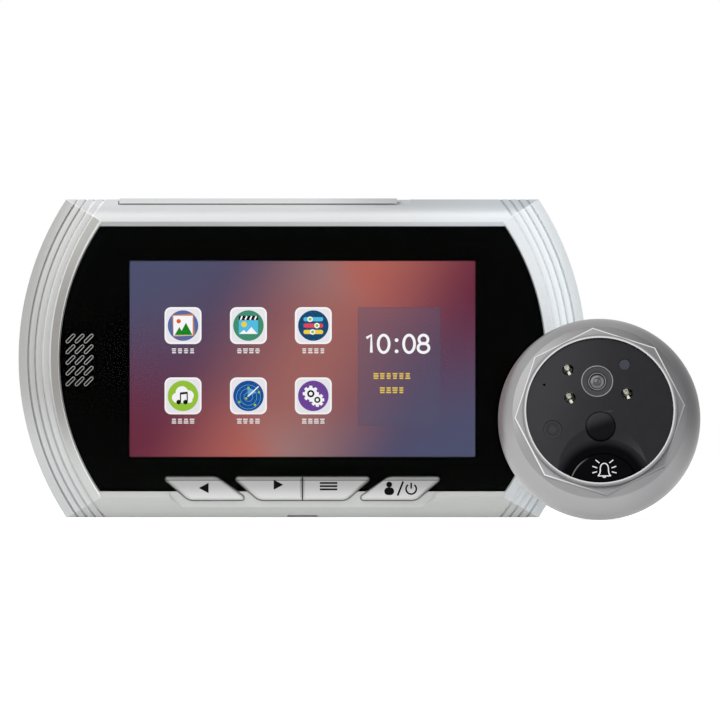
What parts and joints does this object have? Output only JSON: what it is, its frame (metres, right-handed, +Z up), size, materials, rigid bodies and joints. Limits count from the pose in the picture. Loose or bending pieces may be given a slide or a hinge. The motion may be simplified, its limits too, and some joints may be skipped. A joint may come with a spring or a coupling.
{
  "type": "digital door viewer with indoor monitor and round outdoor camera unit",
  "caption": "Wide monitor with curved ribbed sides and slanted keys, hook bracket at its back, and a domed round door camera with call button, threaded barrel and clamp sleeve.",
  "frame": {"origin": "middle of the monitor's foot, on the underside of its front casing, 12.5 mm behind the frontmost ridge of the bezel", "axes": "+X to the viewer's right along the monitor, +Y away from the viewer, +Z up; the outdoor unit stands in front at the right and faces -Y, leaning back 11.1 degrees"},
  "size_m": [0.1862, 0.1092, 0.0878],
  "materials": {
    "casing_silver": "satin silver paint on moulded plastic",
    "key_silver": "satin silver paint on moulded plastic",
    "window_acrylic": "clear acrylic sheet, polished",
    "mask_black": "black print",
    "display_glass": "lit display",
    "sheet_steel": "stamped sheet",
    "screw_steel": "zinc plated",
    "board_green": "solder mask",
    "chip_black": "moulded",
    "socket_ivory": "moulded",
    "speaker_black": "moulded",
    "battery_foil": "pouch foil",
    "bezel_metal": "satin plated cast metal",
    "face_black": "smooth black",
    "lens_black": "black satin",
    "lens_glass": "coated glass",
    "lamp_clear": "clear moulded lamp",
    "sensor_metal": "metal can",
    "indicator_dark": "smoked",
    "dome_dark": "smoked, smooth",
    "back_black": "moulded",
    "gasket_foam": "closed-cell foam",
    "washer_rubber": "smooth rubber",
    "barrel_brass": "nickel plated"
  },
  "bodies": {
    "monitor": {"front_casing": "casing_silver", "rear_casing": "casing_silver", "casing_screws": "screw_steel", "window_panel": "window_acrylic", "window_mask": "mask_black", "lcd_panel": "display_glass", "lcd_frame": "sheet_steel", "speaker_frame": "speaker_black", "speaker_cone": "speaker_black", "main_board": "board_green", "board_screws": "screw_steel", "board_chips": "chip_black", "key_switches": "chip_black", "usb_socket": "sheet_steel", "card_socket": "sheet_steel", "ribbon_socket": "socket_ivory", "battery": "battery_foil"},
    "key_left": {"key_left": "key_silver"},
    "key_right": {"key_right": "key_silver"},
    "key_menu": {"key_menu": "key_silver"},
    "key_power": {"key_power": "key_silver"},
    "port_cover": {"port_cover": "casing_silver"},
    "wall_bracket": {"wall_bracket": "sheet_steel"},
    "camera_unit": {"camera_bezel": "bezel_metal", "face_panel": "face_black", "lens_barrel": "lens_black", "lens_glass": "lens_glass", "infrared_lamps": "lamp_clear", "light_sensor": "lamp_clear", "microphone": "sensor_metal", "indicator_light": "indicator_dark", "motion_lens": "dome_dark", "motion_sensor": "sensor_metal", "call_switch": "chip_black", "camera_board": "board_green", "camera_board_screws": "screw_steel", "camera_back": "back_black", "camera_back_screws": "screw_steel", "door_gasket": "gasket_foam", "threaded_barrel": "barrel_brass", "barrel_screws": "screw_steel"},
    "call_button": {"call_button": "face_black"},
    "rubber_washer": {"rubber_washer": "washer_rubber"},
    "clamp_sleeve": {"clamp_sleeve": "barrel_brass"}
  },
  "joints": [
    {"name": "key_left_press", "type": "slide", "parent": "monitor", "child": "key_left", "axis": [0, 1, 0], "range_m": [0, 0.0004], "stiffness_N_per_m": 250, "springref_m": -0.0004},
    {"name": "key_menu_press", "type": "slide", "parent": "monitor", "child": "key_menu", "axis": [0, 1, 0], "range_m": [0, 0.0004], "stiffness_N_per_m": 250, "springref_m": -0.0004},
    {"name": "key_right_press", "type": "slide", "parent": "monitor", "child": "key_right", "axis": [0, 1, 0], "range_m": [0, 0.0004], "stiffness_N_per_m": 250, "springref_m": -0.0004},
    {"name": "key_power_press", "type": "slide", "parent": "monitor", "child": "key_power", "axis": [0, 1, 0], "range_m": [0, 0.0004], "stiffness_N_per_m": 250, "springref_m": -0.0004},
    {"name": "port_cover_hinge", "type": "hinge", "parent": "monitor", "child": "port_cover", "pos_m": [-0.0122, 0.0002, 0.08706], "axis": [-1, 0, 0], "range_deg": [0, 95]},
    {"name": "bracket_slide", "type": "slide", "parent": "monitor", "child": "wall_bracket", "axis": [0, 0, -1], "range_m": [0, 0.0048]},
    {"name": "camera_unit_lift", "type": "slide", "parent": "monitor", "child": "camera_unit", "axis": [0, 0, 1], "range_m": [0, 0.1]},
    {"name": "call_button_press", "type": "slide", "parent": "camera_unit", "child": "call_button", "axis": [0, 0.9811, -0.1933], "range_m": [0, 0.0008], "stiffness_N_per_m": 300, "springref_m": -0.0008},
    {"name": "washer_slide", "type": "slide", "parent": "camera_unit", "child": "rubber_washer", "axis": [0, -0.9811, 0.1933], "range_m": [0, 0.022]},
    {"name": "sleeve_screw", "type": "hinge", "parent": "rubber_washer", "child": "clamp_sleeve", "pos_m": [0.08065, -0.03979, 0.01799], "axis": [0, -0.9811, 0.1933], "range_deg": [0, 7920]}
  ],
  "couplings": [
    {"joint": "washer_slide", "follows": "sleeve_screw", "m_per_rad": 0.00015915}
  ]
}
